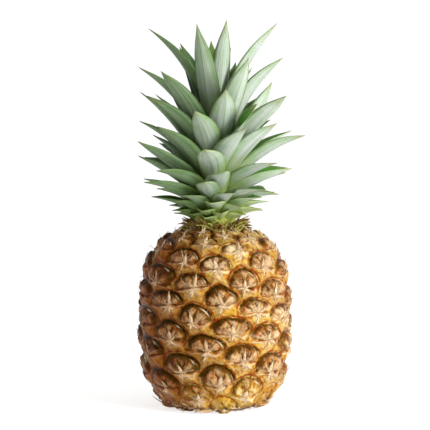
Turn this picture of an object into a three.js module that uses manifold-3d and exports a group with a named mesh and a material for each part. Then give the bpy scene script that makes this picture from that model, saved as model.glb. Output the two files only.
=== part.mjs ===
// A whole pineapple, standing on its base: the barrel of fused eyes, the leafy crown and the cut stalk.
// Millimetres, +Z up. The origin is the centre of the stalk's cut face, where the fruit stands.
// Azimuths are in degrees, anticlockwise seen from above, and 0 is the -Y side.
import * as THREE from "three";
import { mergeVertices } from "three/addons/utils/BufferGeometryUtils.js";
import Module from "manifold-3d";

const wasm = await Module();
wasm.setup();

// Driving dimensions

// The bed of the grooves between the eyes, from the underside round the barrel to the neck.
// Each row is radius, height, and the rise from one eye to the next in the spiral, along the skin.
const SKIN = [
  [3, 3.4, 0.5],
  [20, 2.3, 0.8],
  [31, 2.0, 1.3],
  [39.5, 4.7, 1.9],
  [47.4, 12.2, 2.2],
  [54, 26, 2.25],
  [58.2, 46.8, 2.0],
  [59.4, 68.8, 1.68],
  [58.6, 90.8, 1.78],
  [56, 110.8, 1.8],
  [49.8, 125.8, 1.7],
  [41, 136.3, 1.5],
  [31, 142.3, 1.15],
  [21, 144.8, 0.8],
  [4, 146.3, 0.5],
];
const SKIN_STEPS = 24; // samples between two rows of SKIN

const EYE_TURN = 137.8; // from one eye to the next
const EYE_AZIMUTH = 7.2; // of the eye numbered EYE_FRONT
const EYE_FRONT = 62;
const EYE_FRONT_HEIGHT = 90.8;
const EYE_FIRST = 5;
const EYE_LAST = 111;
// The six eyes round an eye, in order round it: 8, 13 and 5 are the fruit's three families of spirals.
const EYE_NEIGHBOURS = [8, 13, 5, -8, -13, -5];
const EYE_STRAY = { azimuth: 1.6, count: 0.9 }; // off the even spiral, in degrees and in eyes
// Eyes that stand off it by more than a stray: number, turn and rise.
const EYE_SHIFTS = [
  [20, 5, 2], [23, -6, 0], [25, 7, 1], [28, 2, -0.5], [31, -7, 0.5], [33, 3, -1], [36, -2, 0.5],
  [41, 1, 0], [44, -3, 1], [46, 3, -0.5], [49, -2, -0.5], [52, -5, 2], [54, -2, -0.5], [57, -5, 1],
  [59, 10, 2.5], [62, -2, 0], [65, -8, 0], [67, 8, 2.5], [70, -7, -1], [72, 3, -1.5], [75, 3, 2],
  [78, -10, -1], [80, 6, 0], [83, 2, 2.5], [88, -1, 2],
];
const EYE_ARCH = 0.085; // how far an eye's top edge bows out, as a share of the way to the eye above
const EYE_LIFT = 4.3; // the middle of a full-grown eye above the grooves
const FULL_PITCH = 1.9; // the rise at which an eye is full-grown
// Rings of an eye between its middle and its edge: how far out, and how high, on its dome and on its skirt.
const DOME_RINGS = [
  [0.5, 0.96],
  [0.83, 0.6],
];
const SKIRT_RINGS = [
  [0.55, 0.84],
  [0.93, 0.52],
];

const TIP_LENGTH = 10; // of the dry point of a full-grown eye's bract, up over the dome
const TIP_RISE = 1.6; // of the point's end above the middle of the eye
const TIP_ROOT = 0.14; // half its root's width and height, as a share of the way to the eye's edge
const TIP_STRAY = { length: 0.25, azimuth: 2.5 };
const COLLAR_LENGTH = 7; // more for the bracts round the neck
const COLLAR_RISE = 3.5;
const COLLAR_EYES = [93, 101]; // the numbers between which it comes in

const STALK_RADIUS = 12;
const STALK_DEPTH = 14;
const STALK_EDGE = 0.8;
const STALK_TAPER = 1;
const ROUND_SIDES = 14; // of the stalk, its socket and the crown's stem
const GAP = 0.3; // between two pieces that touch

const NECK_HEIGHT = 147.8; // the top of the fruit, where the crown stands
const CROWN_FOOT = NECK_HEIGHT + GAP;
const CROWN_STEM = [
  [0, 0],
  [16, 0],
  [18, 6],
  [16.5, 22],
  [12, 50],
  [6.5, 76],
  [0, 84],
];

const LEAF_COUNT = 104;
const LEAF_FIRST = 5;
const LEAF_TURN = 137.5;
const LEAF_AZIMUTH = -5.5; // of the leaf numbered LEAF_FRONT
const LEAF_FRONT = 60;
const LEAF_LOWEST = 1.6; // above the crown's foot
const LEAF_CLIMB = [0.2, 0.0052]; // up the stem, for each leaf and for its square
const LEAF_GROWTH_STEP = 15;
// Leaves rooted at every LEAF_GROWTH_STEP up the stem: how far they reach from the axis to the tip,
// their mean slope, how far they bend outwards from root to tip, and their width.
const LEAF_GROWTH = [
  [35, 15, 44, 17],
  [63, 20, 30, 21.5],
  [82, 33, 28, 25],
  [93, 45, 26, 26],
  [99.5, 58, 22, 24],
  [103, 80, 16, 19],
];
const LEAF_STRAY = { azimuth: 2.5, slope: 3, reach: 0.06, sway: 7, twist: 16 };
// Leaves that stand off the even spiral: number, turn, tilt and share of the usual length.
const LEAF_LEANS = [
  [2, 0, 0, 0.85], [7, 0, 0, 1.15], [11, 0, 0, 1.15], [16, 0, 0, 1.15], [23, 0, 4, 1.2],
  [28, 0, -2, 1.2], [34, -3, 0, 1], [37, 0, -9, 0.9], [39, 0, 6, 1], [40, 0, -5, 0.8], [42, 1, -9, 1],
  [44, -17, -5, 1.15], [47, -2, 5, 1], [49, 0, 5, 1.1], [50, 8, -5, 0.95], [52, -20, -11, 1],
  [53, 0, -10, 1.05], [54, 0, 0, 0.88], [55, 21, -7, 0.9], [57, 0, 2, 1.05], [58, 5, 0, 1.15],
  [60, 1, -5, 1], [62, 0, 13, 0.85], [63, 0, 8, 1], [65, -11, 1, 1], [66, 0, -3, 0.87],
  [67, 0, 0, 0.85], [68, 4, -3, 0.92], [70, 0, -2, 0.9], [71, -35, 4, 0.95], [73, 6, 1, 1],
  [74, 0, 3, 0.7], [75, 0, 4, 1.1], [76, 20, -2, 1.13], [78, -4, -2, 1], [79, 3, 12, 1],
  [80, 0, 0, 0.95], [81, 10, 0, 1], [82, 0, 0, 0.8], [83, 0, 1, 0.76], [84, 18, 6, 1.15],
  [86, -17, -2, 1.05], [87, 0, 0, 0.75], [88, -15, 11, 1], [89, 8, -3, 1], [90, -2, 0, 0.91],
  [91, -7, -14, 0.95], [92, 0, 7, 0.72], [94, -12, 4, 1.2], [95, 1, 10, 0.75], [96, 4, 5, 0.88],
  [97, 30, -8, 1.15], [98, 5, 0, 0.95], [99, -28, -20, 1.05], [100, 0, 6, 0.75], [101, 0, 0, 0.8],
  [102, 19, -2, 0.95], [103, 0, 2, 0.77],
];
// Leaves that turn over to show a face: number and twist.
const LEAF_TWISTS = [
  [58, -25], [71, 85], [76, -25], [78, 25], [79, -50], [84, -20], [96, -60], [97, -15], [99, 8],
];
// Leaves that bend more or less than the rest: number, and by how much.
const LEAF_BENDS = [
  [28, -15], [41, -15], [44, -10], [49, -15], [50, -20], [57, -25], [58, 12], [79, -40], [84, 22],
  [86, 12], [91, 18], [97, 20], [99, 34],
];
const LEAF_ROOT = 0.85; // where a leaf starts, as a share of the stem's radius
const LEAF_STEPS = 12; // of its bend
// Along a leaf: share of the length, and of the full width.
const LEAF_OUTLINE = [
  [0, 0.8],
  [0.3, 1],
  [0.6, 0.92],
  [0.83, 0.52],
];
const LEAF_FOLD = [34, 16]; // of each half up from flat, at the root and at the tip, in degrees
const LEAF_THICKNESS = [2.6, 1.2]; // of the midrib, at the root and at the tip

const radians = THREE.MathUtils.degToRad;
const { lerp, clamp, smoothstep } = THREE.MathUtils;

// A fixed draw from -1 to 1 for a piece's number and a trait.
function vary(number, trait) {
  const wave = Math.sin(number * 12.9898 + trait * 78.233) * 43758.5453;
  return 2 * (wave - Math.floor(wave)) - 1;
}

// Manifold solids to and from three.js geometry

function solidOf(geometry) {
  const bare = geometry.clone().deleteAttribute("normal").deleteAttribute("uv");
  const merged = mergeVertices(bare, 1e-4);
  return new wasm.Manifold(
    new wasm.Mesh({
      numProp: 3,
      vertProperties: merged.getAttribute("position").array,
      triVerts: new Uint32Array(merged.index.array),
    }),
  );
}

// The outer surface alone of a solid, without the pockets that its joins enclose.
function filled(solid) {
  return solid.decompose().reduce((a, b) => (a.volume() > b.volume() ? a : b));
}

function geometryOf(solid) {
  const mesh = solid.getMesh();
  const geometry = new THREE.BufferGeometry();
  geometry.setAttribute("position", new THREE.BufferAttribute(mesh.vertProperties, 3));
  geometry.setIndex(new THREE.BufferAttribute(mesh.triVerts, 1));
  geometry.computeVertexNormals();
  return geometry;
}

function geometryFrom(points, faces) {
  const flat = points.flatMap((p) => [p.x, p.y, p.z]);
  return new THREE.BufferGeometry()
    .setAttribute("position", new THREE.Float32BufferAttribute(flat, 3))
    .setIndex(faces.flat());
}

// The skin's profile: a smooth curve through SKIN, with its length and the eyes' count along it.

function between(rows, column, t) {
  const i = Math.min(Math.floor(t), rows.length - 2);
  const at = (n) => rows[clamp(n, 0, rows.length - 1)][column];
  const [a, b, c, d] = [at(i - 1), at(i), at(i + 1), at(i + 2)];
  const u = t - i;
  return b + 0.5 * u * (c - a + u * (2 * a - 5 * b + 4 * c - d + u * (3 * (b - c) + d - a)));
}

function walkSkin() {
  const walk = [];
  for (let n = 0; n <= (SKIN.length - 1) * SKIN_STEPS; n++) {
    const [r, z, pitch] = [0, 1, 2].map((column) => between(SKIN, column, n / SKIN_STEPS));
    let count = 0;
    if (n > 0) {
      const last = walk[n - 1];
      count = last.count + (2 * Math.hypot(r - last.r, z - last.z)) / (pitch + last.pitch);
    }
    walk.push({ r, z, pitch, count });
  }
  return walk;
}

const skinWalk = walkSkin();

// The count at the front eye's height, so that the eye numbered EYE_FRONT stands there.
function countAtHeight(height) {
  const n = skinWalk.findIndex((spot) => spot.r > 50 && spot.z > height);
  const [a, b] = [skinWalk[n - 1], skinWalk[n]];
  return a.count + ((height - a.z) / (b.z - a.z)) * (b.count - a.count);
}

const countShift = countAtHeight(EYE_FRONT_HEIGHT) - EYE_FRONT;

// The skin at a place in the eyes' count: radius, height, outward slope and pitch.
function skinAt(eyeCount) {
  const wanted = eyeCount + countShift;
  const lastCount = skinWalk[skinWalk.length - 1].count;
  const held = clamp(wanted, 0.001, lastCount - 0.001);
  const n = skinWalk.findIndex((spot) => spot.count > held);
  const [a, b] = [skinWalk[n - 1], skinWalk[n]];
  const share = (held - a.count) / (b.count - a.count);
  const length = Math.hypot(b.r - a.r, b.z - a.z);
  return {
    r: lerp(a.r, b.r, share),
    z: lerp(a.z, b.z, share),
    pitch: lerp(a.pitch, b.pitch, share),
    outR: (b.z - a.z) / length,
    outZ: (a.r - b.r) / length,
  };
}

// A point on the skin, lifted off the grooves.
function skinPoint(azimuth, eyeCount, lift) {
  const at = skinAt(eyeCount);
  const r = at.r + at.outR * lift;
  const angle = radians(azimuth);
  return new THREE.Vector3(r * Math.sin(angle), -r * Math.cos(angle), at.z + at.outZ * lift);
}

// The eyes

// The turn between two eyes that many numbers apart, from -180 to 180.
function turnOver(numbers) {
  const turn = numbers * EYE_TURN;
  return turn - 360 * Math.round(turn / 360);
}

// How far an eye stands off the even spiral.
function strayOf(number) {
  const shifted = EYE_SHIFTS.find((row) => row[0] === number);
  if (shifted) return { azimuth: shifted[1], count: shifted[2] };
  return { azimuth: EYE_STRAY.azimuth * vary(number, 1), count: EYE_STRAY.count * vary(number, 2) };
}

function eyeAt(number) {
  const stray = strayOf(number);
  const spiral = EYE_AZIMUTH + (number - EYE_FRONT) * EYE_TURN;
  return { azimuth: spiral + stray.azimuth, count: number + stray.count };
}

// A neighbour's place, unwrapped to lie beside the eye.
function neighbourOf(number, step) {
  const stray = strayOf(number + step).azimuth - strayOf(number).azimuth;
  return { azimuth: eyeAt(number).azimuth + turnOver(step) + stray, count: eyeAt(number + step).count };
}

function middleOf(...spots) {
  const mean = (key) => spots.reduce((sum, spot) => sum + spot[key], 0) / spots.length;
  return { azimuth: mean("azimuth"), count: mean("count") };
}

// The twelve spots round an eye's edge: six corners, and the bowed middle of each side.
function edgeOf(number) {
  const own = eyeAt(number);
  const round = EYE_NEIGHBOURS.map((step) => neighbourOf(number, step));
  const corners = round.map((spot, i) => middleOf(own, spot, round[(i + 1) % 6]));
  const edge = [];
  corners.forEach((corner, i) => {
    const before = corners[(i + 5) % 6];
    const side = round[i];
    const sign = EYE_NEIGHBOURS[i] > 0 ? 1 : -1;
    const [low, high] = sign > 0 ? [own, side] : [side, own];
    const middle = middleOf(before, corner);
    edge.push({
      azimuth: middle.azimuth + EYE_ARCH * (high.azimuth - low.azimuth),
      count: middle.count + EYE_ARCH * (high.count - low.count),
      dome: sign > 0 ? 1 : 0,
    });
    const next = EYE_NEIGHBOURS[(i + 1) % 6] > 0 ? 1 : -1;
    edge.push({ ...corner, dome: (sign + next + 2) / 4 });
  });
  return edge;
}

function growth(number) {
  return Math.min(1, skinAt(eyeAt(number).count).pitch / FULL_PITCH);
}

// A spot part of the way from an eye's middle to a spot of its edge, lifted off the grooves.
function eyePoint(own, spot, out, lift) {
  const azimuth = lerp(own.azimuth, spot.azimuth, out);
  const count = lerp(own.count, spot.count, out);
  return skinPoint(azimuth, count, lift);
}

// The end of the dry point in an eye's middle. The points round the neck are longer and stand higher.
function tipPoint(number) {
  const own = eyeAt(number);
  const size = growth(number);
  const collar = smoothstep(number, ...COLLAR_EYES);
  const length = TIP_LENGTH * size * (1 + TIP_STRAY.length * vary(number, 3)) + COLLAR_LENGTH * collar;
  const azimuth = own.azimuth + TIP_STRAY.azimuth * vary(number, 4);
  const lift = (EYE_LIFT + TIP_RISE) * size + COLLAR_RISE * collar;
  return skinPoint(azimuth, own.count + length / skinAt(own.count).pitch, lift);
}

// One eye: a dome above and a skirt below, down to the grooves at its edge.
// The dry point of its bract stands in its middle, and leans up over the dome.
function addEye(number, points, faces) {
  const own = eyeAt(number);
  const height = EYE_LIFT * growth(number);
  const edge = edgeOf(number);
  const around = edge.length;
  const rings = [0, 1].map((ring) =>
    edge.map((spot) => {
      const out = lerp(SKIRT_RINGS[ring][0], DOME_RINGS[ring][0], spot.dome);
      const lift = lerp(SKIRT_RINGS[ring][1], DOME_RINGS[ring][1], spot.dome);
      return eyePoint(own, spot, out, lift * height);
    }),
  );
  rings.push(edge.map((spot) => skinPoint(spot.azimuth, spot.count, 0)));
  const roots = [0, 3, 6, 9].map((i) => eyePoint(own, edge[i], TIP_ROOT, height));
  const tip = points.length;
  const root = tip + 1;
  const ring = root + roots.length;
  points.push(tipPoint(number), ...roots, ...rings.flat());
  for (let i = 0; i < 4; i++) {
    const j = (i + 1) % 4;
    const [a, b] = [root + i, root + j];
    const [p, q, r] = [ring + 3 * i, ring + 3 * i + 1, ring + 3 * i + 2];
    faces.push([tip, a, b], [a, p, q], [a, q, r], [a, r, b], [b, r, ring + 3 * j]);
  }
  for (let i = 0; i < around; i++) {
    const j = (i + 1) % around;
    for (const inner of [ring, ring + around]) {
      const outer = inner + around;
      faces.push([inner + i, outer + i, outer + j], [inner + i, outer + j, inner + j]);
    }
  }
}

// The rims of an open surface, each a loop of its points' numbers.
function rimsOf(index) {
  const edges = new Map();
  for (let i = 0; i < index.length; i++) {
    const j = i % 3 === 2 ? i - 2 : i + 1;
    edges.set(index[i] + " " + index[j], [index[i], index[j]]);
  }
  const before = new Map();
  for (const [from, to] of edges.values()) {
    if (!edges.has(to + " " + from)) before.set(to, from);
  }
  const rims = [];
  while (before.size) {
    const rim = [];
    let at = before.keys().next().value;
    while (before.has(at)) {
      rim.push(at);
      const next = before.get(at);
      before.delete(at);
      at = next;
    }
    rims.push(rim);
  }
  return rims;
}

// Closes the skin's two open rims, each with a fan to a point on the axis.
function closeEnds(geometry) {
  const merged = mergeVertices(geometry, 1e-3);
  const index = [...merged.index.array];
  const position = merged.getAttribute("position");
  const points = [...position.array];
  for (const rim of rimsOf(merged.index.array)) {
    const height = rim.reduce((sum, n) => sum + position.getZ(n), 0) / rim.length;
    const hub = points.length / 3;
    points.push(0, 0, height);
    rim.forEach((n, i) => index.push(n, rim[(i + 1) % rim.length], hub));
  }
  return new THREE.BufferGeometry()
    .setAttribute("position", new THREE.Float32BufferAttribute(points, 3))
    .setIndex(index);
}

// All the space between two heights.
function slab(low, high) {
  const box = new THREE.BoxGeometry(300, 300, high - low);
  return solidOf(box.translate(0, 0, (low + high) / 2));
}

function rod(radius, low, high) {
  const side = new THREE.CylinderGeometry(radius, radius, high - low, ROUND_SIDES);
  return solidOf(side.rotateX(Math.PI / 2).translate(0, 0, (low + high) / 2));
}

// A turned shape round the Z axis, from its rows of radius and height.
function turned(rows) {
  const outline = rows.map(([r, h]) => new THREE.Vector2(r, h));
  return new THREE.LatheGeometry(outline, ROUND_SIDES).rotateX(Math.PI / 2);
}

function fruitGeometry() {
  const points = [];
  const faces = [];
  for (let number = EYE_FIRST; number <= EYE_LAST; number++) addEye(number, points, faces);
  const whole = solidOf(closeEnds(geometryFrom(points, faces)));
  const fruit = whole.subtract(slab(-20, 0)).subtract(slab(NECK_HEIGHT, NECK_HEIGHT + 30));
  return geometryOf(filled(fruit.subtract(rod(STALK_RADIUS + GAP, -1, STALK_DEPTH + GAP))));
}

// The crown

function leafTraits(number) {
  const climb = LEAF_CLIMB[0] * number + LEAF_CLIMB[1] * number ** 2;
  const t = Math.min(climb / LEAF_GROWTH_STEP, LEAF_GROWTH.length - 1);
  const own = (rows) => rows.find((row) => row[0] === number)?.slice(1);
  const [reach, slope, curve, width] = [0, 1, 2, 3].map((column) => between(LEAF_GROWTH, column, t));
  const [turn, tilt, stretch] = own(LEAF_LEANS) ?? [0, 0, 1];
  const [bend] = own(LEAF_BENDS) ?? [0];
  const [twist] = own(LEAF_TWISTS) ?? [LEAF_STRAY.twist * vary(number, 9)];
  const curl = curve + bend;
  const mean = slope + LEAF_STRAY.slope * vary(number, 5) + tilt;
  const free = reach * (1 + LEAF_STRAY.reach * vary(number, 7)) - stemRadius(CROWN_FOOT + climb);
  const spiral = LEAF_AZIMUTH + (number - LEAF_FRONT) * LEAF_TURN;
  return {
    azimuth: spiral + LEAF_STRAY.azimuth * vary(number, 6) + turn,
    height: CROWN_FOOT + LEAF_LOWEST + climb,
    length: free * stretch,
    width,
    startSlope: mean + 0.5 * curl,
    endSlope: mean - 0.5 * curl,
    sway: LEAF_STRAY.sway * vary(number, 8),
    twist,
  };
}

function stemRadius(height) {
  const rows = CROWN_STEM;
  const h = height - CROWN_FOOT;
  const n = Math.max(2, rows.findIndex((row) => row[1] >= h));
  const [a, b] = [rows[n - 1], rows[n]];
  return lerp(a[0], b[0], clamp((h - a[1]) / (b[1] - a[1]), 0, 1));
}

// A leaf's midrib at a share of its length: where it is, and the ways across it and up from it.
function midrib(leaf, share) {
  const steps = Math.max(1, Math.round(share * LEAF_STEPS));
  let radial = LEAF_ROOT * stemRadius(leaf.height);
  let height = leaf.height;
  let slope = radians(leaf.startSlope);
  for (let n = 0; n < steps; n++) {
    slope = radians(lerp(leaf.startSlope, leaf.endSlope, (share * n) / steps));
    radial += ((leaf.length * share) / steps) * Math.cos(slope);
    height += ((leaf.length * share) / steps) * Math.sin(slope);
  }
  const angle = radians(leaf.azimuth + leaf.sway * share ** 2);
  const out = new THREE.Vector3(Math.sin(angle), -Math.cos(angle), 0);
  const at = out.clone().multiplyScalar(radial).setZ(height);
  const ahead = out.clone().multiplyScalar(Math.cos(slope)).setZ(Math.sin(slope));
  const across = new THREE.Vector3(Math.cos(angle), Math.sin(angle), 0);
  across.applyAxisAngle(ahead, radians(leaf.twist * share));
  return { at, across, up: ahead.cross(across) };
}

// One leaf: a tapering channel, hollow side up, that bends outwards to a point.
function leafSolid(number) {
  const leaf = leafTraits(number);
  const points = [];
  for (const [share, width] of LEAF_OUTLINE) {
    const { at, across, up } = midrib(leaf, share);
    const half = 0.5 * leaf.width * width;
    const fold = radians(lerp(...LEAF_FOLD, share));
    const deep = 0.5 * lerp(...LEAF_THICKNESS, share);
    const [wing, lift] = [half * Math.cos(fold), half * Math.sin(fold)];
    points.push(
      at.clone().addScaledVector(across, -wing).addScaledVector(up, lift),
      at.clone().addScaledVector(up, -deep),
      at.clone().addScaledVector(across, wing).addScaledVector(up, lift),
      at.clone().addScaledVector(up, deep),
    );
  }
  const tip = points.length;
  points.push(midrib(leaf, 1).at);
  const faces = [[0, 3, 2], [0, 2, 1]];
  for (let i = 0; i < 4; i++) {
    const j = (i + 1) % 4;
    for (let base = 0; base < tip - 4; base += 4)
      faces.push([base + i, base + j, base + 4 + j], [base + i, base + 4 + j, base + 4 + i]);
    faces.push([tip - 4 + i, tip - 4 + j, tip]);
  }
  return solidOf(geometryFrom(points, faces));
}

function crownGeometry() {
  const stem = solidOf(turned(CROWN_STEM).translate(0, 0, CROWN_FOOT));
  const leaves = [];
  for (let number = LEAF_FIRST; number < LEAF_COUNT; number++) leaves.push(leafSolid(number));
  const crown = wasm.Manifold.union([stem, ...leaves]);
  return geometryOf(filled(crown.subtract(slab(0, CROWN_FOOT))));
}

function stalkGeometry() {
  return turned([
    [0, 0],
    [STALK_RADIUS - STALK_EDGE, 0],
    [STALK_RADIUS, STALK_EDGE],
    [STALK_RADIUS - STALK_TAPER, STALK_DEPTH],
    [0, STALK_DEPTH],
  ]);
}

function material(colour, roughness) {
  return new THREE.MeshStandardMaterial({ color: colour, roughness, metalness: 0 });
}

function piece(name, geometry, look) {
  const mesh = new THREE.Mesh(geometry, look);
  mesh.name = name;
  return mesh;
}

const pineapple = new THREE.Group();
pineapple.add(
  piece("fruit", fruitGeometry(), material("#b5792c", 0.5)),
  piece("crown", crownGeometry(), material("#7f9c70", 0.55)),
  piece("stalk", stalkGeometry(), material("#c9b083", 0.8)),
);

export default pineapple;
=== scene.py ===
"""A whole pineapple, dressed for a close look: rind, bracts, crown and cut stalk.

Lengths in the tables are millimetres. Azimuths are degrees, anticlockwise seen from above, 0 at the -Y side.
"""

import math
from functools import partial

import bmesh
import bpy
import numpy as np
from bpy.props import FloatProperty, FloatVectorProperty, IntProperty, PointerProperty
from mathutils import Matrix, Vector


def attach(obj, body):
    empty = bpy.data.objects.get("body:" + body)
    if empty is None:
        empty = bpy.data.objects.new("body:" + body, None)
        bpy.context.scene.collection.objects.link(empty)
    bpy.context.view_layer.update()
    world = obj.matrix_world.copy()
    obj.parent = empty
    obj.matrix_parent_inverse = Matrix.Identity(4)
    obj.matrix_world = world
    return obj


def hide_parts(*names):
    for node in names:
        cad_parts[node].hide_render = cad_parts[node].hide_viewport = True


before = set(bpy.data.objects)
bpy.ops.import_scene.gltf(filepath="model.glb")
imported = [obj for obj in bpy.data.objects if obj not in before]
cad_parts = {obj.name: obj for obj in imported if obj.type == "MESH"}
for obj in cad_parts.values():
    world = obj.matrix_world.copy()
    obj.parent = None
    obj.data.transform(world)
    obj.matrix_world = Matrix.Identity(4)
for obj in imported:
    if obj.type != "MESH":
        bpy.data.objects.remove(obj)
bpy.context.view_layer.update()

bl_info = {
    "name": "Whole Pineapple",
    "version": (1, 0, 0),
    "blender": (4, 5, 0),
    "location": "3D View > Sidebar > Pineapple",
    "description": "Builds a whole pineapple with its eyes, bracts and leafy crown",
    "category": "Add Mesh",
}

MM = 0.001

# The bed of the grooves between the eyes, from the underside round the barrel to the neck:
# radius, height, and the rise from one eye to the next in the spiral, along the skin.
SKIN = [
    (3, 3.4, 0.5), (20, 2.3, 0.8), (31, 2.0, 1.3), (39.5, 4.7, 1.9), (47.4, 12.2, 2.2),
    (54, 26, 2.25), (58.2, 46.8, 2.0), (59.4, 68.8, 1.68), (58.6, 90.8, 1.78), (56, 110.8, 1.8),
    (49.8, 125.8, 1.7), (41, 136.3, 1.5), (31, 142.3, 1.15), (21, 144.8, 0.8), (4, 146.3, 0.5),
]
SKIN_STEPS = 24

EYES = range(5, 112)  # from the withered flaps under the base to the neck
EYE_TURN, EYE_AZIMUTH = 137.8, 7.2
EYE_FRONT, EYE_FRONT_HEIGHT = 62, 90.8
EYE_NEIGHBOURS = (8, 13, 5, -8, -13, -5)
EYE_STRAY = (1.6, 0.9)  # in turn and in rise
# Eyes that stand off the even spiral by more than a stray: number, turn and rise.
EYE_SHIFTS = {
    20: (5, 2), 23: (-6, 0), 25: (7, 1), 28: (2, -0.5), 31: (-7, 0.5), 33: (3, -1), 36: (-2, 0.5),
    41: (1, 0), 44: (-3, 1), 46: (3, -0.5), 49: (-2, -0.5), 52: (-5, 2), 54: (-2, -0.5), 57: (-5, 1),
    59: (10, 2.5), 62: (-2, 0), 65: (-8, 0), 67: (8, 2.5), 70: (-7, -1), 72: (3, -1.5), 75: (3, 2),
    78: (-10, -1), 80: (6, 0), 83: (2, 2.5), 88: (-1, 2),
}
EYE_ARCH = 0.085  # of an eye's sides, as a share of the way to its neighbours
EYE_RADIUS = 11  # of a full-grown eye
FULL_PITCH = 1.9  # the rise between eyes from which they are full-grown
SIDE_SPOTS = 8  # round each of an eye's six sides
EYE_RINGS = (0.07, 0.15, 0.24, 0.34, 0.44, 0.54, 0.63, 0.7, 0.76, 0.81, 0.855, 0.9, 0.95, 1.0)
LIP_LIFT = 0.3  # of the skirts' lower lips, as a share of an eye's lift
FLAP_EYES = (27, 16)  # from full eyes down to the withered flaps round the base
# Heights from which the rind turns greener towards its ends, golden towards its foot, and browner and
# darker underneath, partly dried tissue and partly painted shade near the floor; and heights at which it is
# wholly so.
GREEN_FOOT, GREEN_TOP, GOLD_FOOT, BROWN_AND_SHADE_UNDER = (34, 8), (122, 138), (46, 10), (9, 1)
STAR_DROP = 0.14  # of an eye's star and lip below its middle, in its unit disc
NOISE_SIZES = (9, 5, 3, 1.8)
HASH_FACTORS = (73856093, 19349663, 83492791)  # large, so that a cell's place gives an even spread
WELD = 0.002  # points of neighbouring eyes that are nearer than this are one

# The dry arms of an eye's star: heading from its right, and length in its unit disc.
STAR_ARMS = ((38, 0.4), (142, 0.38), (-25, 0.42), (-155, 0.45), (-62, 0.45), (-92, 0.72), (-122, 0.5))
STAR_WIDTH, STAR_THICKNESS, STAR_STRAY = 2.1, 0.35, 16
FIBRE_LENGTH, FIBRE_WIDTH, FIBRE_STRANDS = 11, 0.45, 2
FIBRE_HEIGHT = (3.2, 1.6)  # over the skin, and its stray
# How far fibres may reach from the axis, how much further on the +X side, and how high.
FIBRE_OUT, FIBRE_RIGHT, FIBRE_TOP = 64.4, 4, 150.8

# The withered bracts round the base, each measure with its stray: the root's radius and height,
# how far out and how high the tip is, and half the width.
BASE_BRACTS, BASE_THICKNESS, BASE_TURN = 55, 0.5, 20
BASE_RADIUS, BASE_HEIGHT, BASE_REACH, BASE_RISE = (40, 3), (6.5, 3), (4, 2.5), (3.5, 3)
BASE_HALF = (1.2, 0.6)

# The dry points of the bracts. The topmost eyes' points are longer and stand up as a collar.
TIP_LENGTH, TIP_RISE, TIP_CURL = 10, 1.6, 2.2
TIP_STRAY = (0.25, 2.5)  # in length, as a share, and in turn
TIP_SUNK = 0.12  # of its length, down in the eye
TIP_DROP, TIP_START = 0.7, 0.86  # of its root below the eye's middle, in the count, and up its lift
COLLAR_LENGTH, COLLAR_RISE = 7, 3.5
COLLAR_EYES = (93, 101)

STALK_RADIUS, STALK_DEPTH, GAP = 12, 14, 0.3
SOCKET_MOUTH = 2.2  # the height at which the stalk's socket starts
NECK_HEIGHT = 147.8
NECK_FLOOR = (15, NECK_HEIGHT - 0.6)  # radius and height at which the skin closes under the crown
# The lowest and the highest of the neck's bracts: radius, height, slope at the root, bend and length.
NECK_BRACTS = ((24.5, 142.6, 72, 70, 6.5), (18.5, 148.2, 64, 45, 11.5))
NECK_STRAY = {"turn": 14, "slope": 14, "bend": 50, "length": 0.4}
NECK_HALF, NECK_THICKNESS = 2.2, 0.7
CROWN_FOOT = NECK_HEIGHT + GAP
CROWN_STEM = [(0, 0), (16, 0), (18, 6), (16.5, 22), (12, 50), (6.5, 76), (0, 84)]
STEM_SIDES, STEM_ROWS, STEM_SINK = 48, 29, 0.8
# The stem's lumps: their size and seed, and their height as a share of its radius.
STEM_LUMPS, STEM_SEED, STEM_ROUGH = 4, 5, 0.04

LEAF_FIRST, LEAF_COUNT, LEAF_FRONT = 5, 104, 60
LEAF_TURN, LEAF_AZIMUTH = 137.5, -5.5
LEAF_LOWEST = 1.6
LEAF_CLIMB = (0.2, 0.0052)
LEAF_GROWTH_STEP = 15
# Up the stem: how far a leaf reaches from the axis, its mean slope, how far it bends, and its width.
LEAF_GROWTH = [
    (35, 15, 44, 17), (63, 20, 30, 21.5), (82, 33, 28, 25),
    (93, 45, 26, 26), (99.5, 58, 22, 24), (103, 80, 16, 19),
]
LEAF_STRAY = {"azimuth": 2.5, "slope": 3, "reach": 0.06, "sway": 7, "twist": 16}
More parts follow.
